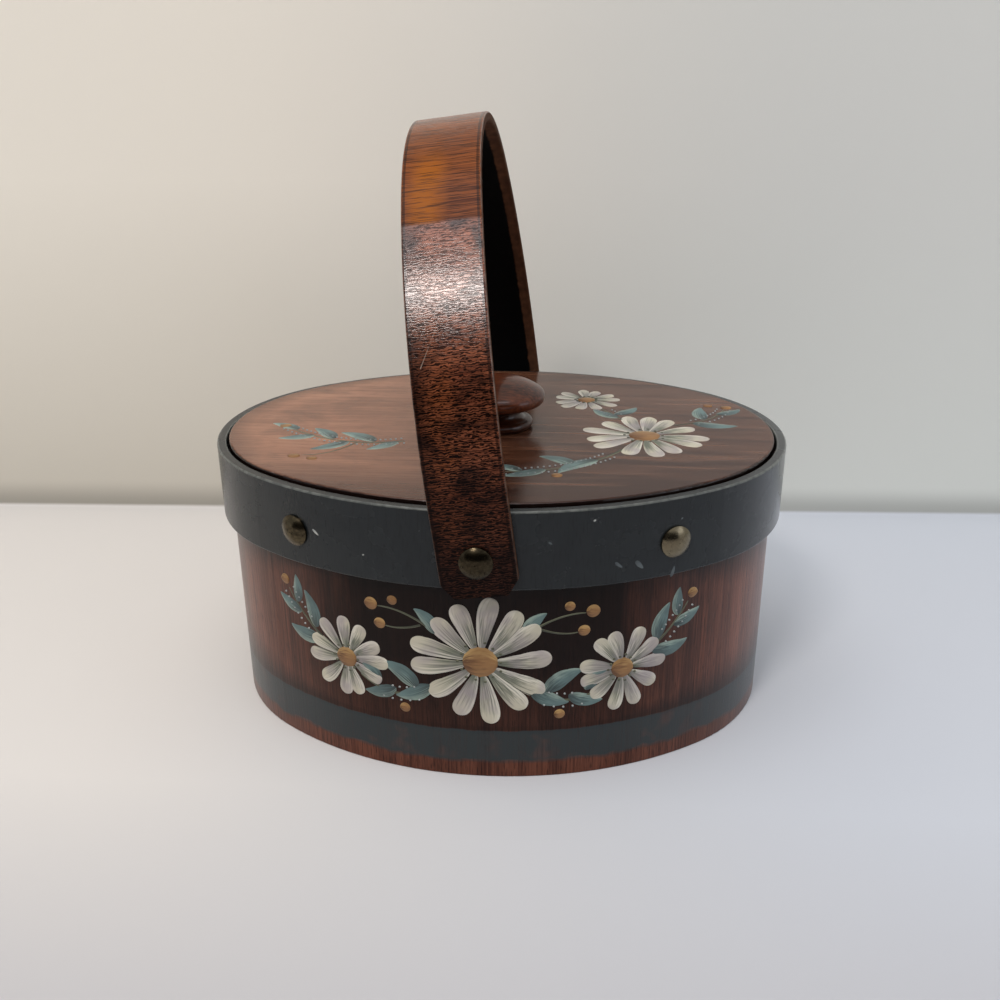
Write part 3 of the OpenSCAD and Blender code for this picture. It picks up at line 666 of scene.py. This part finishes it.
clouds = node(tree, "MapRange", {0: smoke, 1: 0.45, 2: 0.75, 3: 0, 4: 0.6})
nearer = node(tree, "MapRange", {0: y, 1: 0, 2: -60 * MM, 3: 1, 4: 1.25})
stroked = node(tree, "Math", {0: right, 1: uneven}, operation="MULTIPLY")
deeper = node(tree, "Math", {0: stroked, 1: nearer}, operation="MULTIPLY", use_clamp=True)
fore = node(tree, "MapRange", {0: y, 1: -32 * MM, 2: -66 * MM, 3: 0, 4: 0.8})
edged = node(tree, "Math", {0: rim, 1: fore}, operation="MAXIMUM")
wiped = node(tree, "Math", {0: deeper, 1: edged}, operation="MAXIMUM")
glaze = node(tree, "Math", {0: wiped, 1: clouds}, operation="MAXIMUM")
darkened_wood = node(tree, "Mix", {MIX: glaze, MIX_A: wood, MIX_B: linear("#351a0f")}, data_type="RGBA")
# Its edge is stained nearly black
edge = node(tree, "MapRange", {0: z, 1: lid_high.z - 0.5 * MM, 2: lid_high.z - 0.1 * MM})
colour = node(tree, "Mix", {MIX: edge, MIX_A: linear("#170c09"), MIX_B: darkened_wood}, data_type="RGBA")
sheen = node(tree, "MapRange", {0: grain, 1: -0.4, 2: 1, 3: 0.24, 4: 0.17})
bump = node(tree, "Bump", {"Height": grain, "Distance": 0.02 * MM, "Strength": 0.6})
surface = node(tree, "BsdfPrincipled", {"Base Color": colour, "Roughness": sheen,
                                        "Normal": bump, "IOR": 1.5, "Specular IOR Level": 0.35})
node(tree, "OutputMaterial", {"Surface": surface})
dress(lid_wood, "lid_panel")


def on_lid(across, back, out):
    """A point on the lid's face, in mm from its middle and off its face."""
    return Vector((across * MM, back * MM, lid_high.z + out * MM))


LID_FLOWERS = [((55, -9), 23, 13), ((33, 35), 14, 11)]
LID_STEMS = [
    (((48, -22), (30, -42), (4, -50)), 0.8), (((66, 4), (80, 12), (88, 26)), 0.7),
    (((50, 4), (44, 16), (37, 26)), 0.7), (((-32, -20), (-56, -22), (-80, -8)), 0.8),
    (((-50, -22), (-58, -34), (-68, -38)), 0.5),
]
LID_LEAVES = [
    ((38, -36), 3.6, 20, 3.6, 0.7), ((30, -42), 2.2, 16, 3.2, 0.8), ((20, -46), 3.9, 17, 3.0, -0.6),
    ((12, -49), 2.4, 14, 2.6, 0.7), ((74, 8), -0.6, 18, 3.4, 0.9), ((79, 12), 1.9, 16, 3.2, -0.7),
    ((84, 19), 0.2, 13, 2.6, 0.9), ((46, 12), 2.6, 15, 3.0, -0.6), ((44, 16), 0.5, 14, 2.8, 0.7),
    ((-44, -22), 2.3, 18, 3.4, 0.6), ((-54, -22), 4.1, 16, 3.2, -0.6), ((-60, -20), 2.0, 16, 3.1, 0.6),
    ((-68, -16), 3.7, 14, 2.8, -0.5), ((-76, -10), 2.4, 14, 2.7, 0.5), ((-36, -21), 4.2, 14, 2.8, -0.6),
]
LID_BERRIES = [
    ((1, -50.5), 2.4), ((89, 28), 2.2), ((82, 30), 1.8), ((-82, -6), 2.3), ((-70, -39), 2.2),
    ((-63, -41), 1.9), ((24, -52), 1.9),
]
spray("lid_spray", on_lid, "lid", LID_FLOWERS, LID_LEAVES, LID_STEMS, LID_BERRIES, 8)

# Knob and its screw: a mushroom knob turned in the same wood, stained dark and polished,
# drawn down on the lid by a round-headed steel screw from below.

knob_low, knob_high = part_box("lid_knob")

# French-polished mahogany: dark, with a hard highlight round every bead of the turning
knob_wood, tree = new_material("polished_mahogany_knob")
place = node(tree, "TexCoord").outputs["Object"]
z = node(tree, "SeparateXYZ", {0: place}).outputs["Z"]
wood, grain = mahogany(tree, place, 0, "#2f1208", "#783d22", (9, 60), (0.7, 25), (0.35, 5), 0.5)
# Painted shade in the neck and under the cap
knob_h = knob_high.z - knob_low.z
under = node(tree, "MapRange", {0: z, 1: knob_low.z + 0.56 * knob_h,
                                2: knob_low.z + 0.36 * knob_h, 3: 0, 4: 0.6})
colour = node(tree, "Mix", {MIX: under, MIX_A: wood, MIX_B: linear("#120703")}, data_type="RGBA")
bump = node(tree, "Bump", {"Height": grain, "Distance": 0.03 * MM, "Strength": 0.5})
surface = node(tree, "BsdfPrincipled", {"Base Color": colour, "Roughness": 0.3, "Normal": bump,
                                        "IOR": 1.52, "Specular IOR Level": 0.2, "Coat Weight": 0.4,
                                        "Coat Roughness": 0.06})
node(tree, "OutputMaterial", {"Surface": surface})
dress(knob_wood, "lid_knob")

# Bright steel: fine turning marks that spread the highlight
screw_steel, tree = new_material("turned_steel_screw")
place = node(tree, "TexCoord").outputs["Object"]
marks = node(tree, "TexNoise", {"Vector": place, "Scale": 1 / (1.111 * MM), "Detail": 4})
tint = node(tree, "Mix", {MIX: marks, MIX_A: linear("#77756f"), MIX_B: linear("#b9b6ae")}, data_type="RGBA")
rough = node(tree, "MapRange", {0: marks, 1: 0.3, 2: 0.7, 3: 0.3, 4: 0.45})
surface = node(tree, "BsdfPrincipled", {"Base Color": tint, "Metallic": 1, "Roughness": rough})
node(tree, "OutputMaterial", {"Surface": surface})
dress(screw_steel, "knob_screw")

# Table and wall: a pale table top that runs back to a pale painted wall, a little askew to the
# box, as one sheet with a tight cove. Seen from behind, the wall lets the view through.

COVE_Y, COVE_R, COVE_STEPS, WALL_SKEW = 161 * MM, 2 * MM, 8, 0.0433
# In metres, well out of the picture
STAGE_HALF, STAGE_FRONT, STAGE_TOP = 4.0, -1.4, 2.6
profile = [(STAGE_FRONT, 0.0, 0.0)]
for i in range(COVE_STEPS + 1):
    a = math.radians(90 * i / COVE_STEPS)
    profile.append((COVE_Y - COVE_R + COVE_R * math.sin(a), COVE_R - COVE_R * math.cos(a), WALL_SKEW))
profile.append((COVE_Y, STAGE_TOP, WALL_SKEW))
verts = [(x, y + skew * x, z) for y, z, skew in profile for x in (-STAGE_HALF, STAGE_HALF)]
faces = [(2 * i, 2 * i + 1, 2 * i + 3, 2 * i + 2) for i in range(len(profile) - 1)]
mesh = bpy.data.meshes.new("table_and_wall")
mesh.from_pydata(verts, [], faces)
mesh.shade_smooth()
sheet = bpy.data.objects.new("table_and_wall", mesh)
bpy.context.scene.collection.objects.link(sheet)

# Matt emulsion: no gloss; whiter on the table. Light and shade are painted on it: warmer to the
# left and cooler to the right, lighter up the wall, in soft shade at the wall's foot, and a shade
# darker on the table's near part
emulsion, tree = new_material("matt_emulsion")
place = node(tree, "TexCoord").outputs["Object"]
x, y, z = node(tree, "SeparateXYZ", {0: place}).outputs
to_right = node(tree, "MapRange", {0: x, 1: -160 * MM, 2: 160 * MM}, interpolation_type="SMOOTHSTEP")
low_wall = node(tree, "Mix", {MIX: to_right, MIX_A: linear("#d6d1c5"), MIX_B: linear("#e4e6df")},
                data_type="RGBA")
high_wall = node(tree, "Mix", {MIX: to_right, MIX_A: linear("#fbf5e8"), MIX_B: linear("#e4e4de")},
                 data_type="RGBA")
lighter_up_wall = node(tree, "MapRange", {0: z, 1: 10 * MM, 2: 180 * MM})
wall_colour = node(tree, "Mix", {MIX: lighter_up_wall, MIX_A: low_wall, MIX_B: high_wall}, data_type="RGBA")
foot = node(tree, "MapRange", {0: z, 1: 17 * MM, 2: COVE_R, 3: 0, 4: 0.38}, interpolation_type="SMOOTHSTEP")
shaded = node(tree, "Mix", {MIX: foot, MIX_A: wall_colour, MIX_B: linear("#3c3a36")}, data_type="RGBA")
far_top = node(tree, "Mix", {MIX: to_right, MIX_A: linear("#e3dfda"), MIX_B: linear("#d1d5dc")},
               data_type="RGBA")
to_front = node(tree, "MapRange", {0: y, 1: -90 * MM, 2: -220 * MM})
top_colour = node(tree, "Mix", {MIX: to_front, MIX_A: far_top, MIX_B: linear("#bcbbbe")}, data_type="RGBA")
up_wall = node(tree, "MapRange", {0: z, 1: 0.5 * MM, 2: COVE_R})
colour = node(tree, "Mix", {MIX: up_wall, MIX_A: top_colour, MIX_B: shaded}, data_type="RGBA")
matt = node(tree, "BsdfDiffuse", {"Color": colour})
through = node(tree, "BsdfTransparent")
back = node(tree, "NewGeometry")
one_sided = node(tree, "MixShader", {0: back.outputs["Backfacing"], 1: matt, 2: through})
node(tree, "OutputMaterial", {"Surface": one_sided})
mesh.materials.append(emulsion)

# Light: a soft box in front, above and to the left, whose glare shows in the handle's varnish, a
# wide one overhead and a weak cool one to the right, in a pale room. A dark card low behind the
# camera, unseen by it, shows in the gloss of the front.


def soft_box(name, place, aim, size, power, colour):
    """A rectangular lamp at place that faces aim."""
    lamp = bpy.data.lights.new(name, "AREA")
    lamp.shape = "RECTANGLE"
    lamp.size, lamp.size_y = size
    lamp.energy = power
    lamp.color = linear(colour)[:3]
    holder = bpy.data.objects.new(name, lamp)
    holder.location = place
    holder.rotation_euler = (Vector(aim) - Vector(place)).to_track_quat("-Z", "Y").to_euler()
    bpy.context.scene.collection.objects.link(holder)


soft_box("front_box", (-0.36, -0.95, 1.2), (-0.01, -0.07, 0.165), (0.3, 0.22), 6.8, "#fdf5f0")
soft_box("ceiling", (-0.2, -0.5, 1.9), (0, -0.1, 0), (1.6, 1.0), 11, "#f6f7fb")
soft_box("side_box", (0.9, -0.3, 0.5), (0.05, -0.02, 0.05), (0.5, 0.4), 0.8, "#e4ecfb")

CARD_HALF, CARD_TOP, CARD_Y = 2.0, 1.0, -1.4
mesh = bpy.data.meshes.new("dark_card")
mesh.from_pydata([(-CARD_HALF, CARD_Y, 0), (CARD_HALF, CARD_Y, 0), (CARD_HALF, CARD_Y, CARD_TOP),
                  (-CARD_HALF, CARD_Y, CARD_TOP)], [], [(0, 1, 2, 3)])
card = bpy.data.objects.new("dark_card", mesh)
card.visible_camera = False
bpy.context.scene.collection.objects.link(card)
card_felt, tree = new_material("black_felt")
felt = node(tree, "BsdfDiffuse", {"Color": linear("#161616")})
node(tree, "OutputMaterial", {"Surface": felt})
mesh.materials.append(card_felt)

world = bpy.data.worlds.new("pale_room")
world.use_nodes = True
world.node_tree.nodes.clear()
room = node(world.node_tree, "Background", {"Color": linear("#e9ebef"), "Strength": 0.69})
node(world.node_tree, "OutputWorld", {"Surface": room})
bpy.context.scene.world = world
bpy.context.scene.view_settings.view_transform = "Standard"

# Camera: where the photograph was taken from, above the lid and a little right of the middle,
# turned by angles in radians.

CAMERA_AT = (34.2 * MM, -380.7 * MM, 230.8 * MM)
PAN, TILT, ROLL = 0.0895, 0.3918, -0.0077
FOCAL_PX, FRAME_PX, SENSOR_MM = 1044.6, 1000, 36
lens = bpy.data.cameras.new("camera")
lens.sensor_width = SENSOR_MM
lens.lens = FOCAL_PX / FRAME_PX * SENSOR_MM
camera = bpy.data.objects.new("camera", lens)
aim = Matrix.Rotation(PAN, 4, "Z") @ Matrix.Rotation(math.pi / 2 - TILT, 4, "X")
camera.matrix_world = Matrix.Translation(CAMERA_AT) @ aim @ Matrix.Rotation(ROLL, 4, "Z")
bpy.context.scene.collection.objects.link(camera)
bpy.context.scene.camera = camera
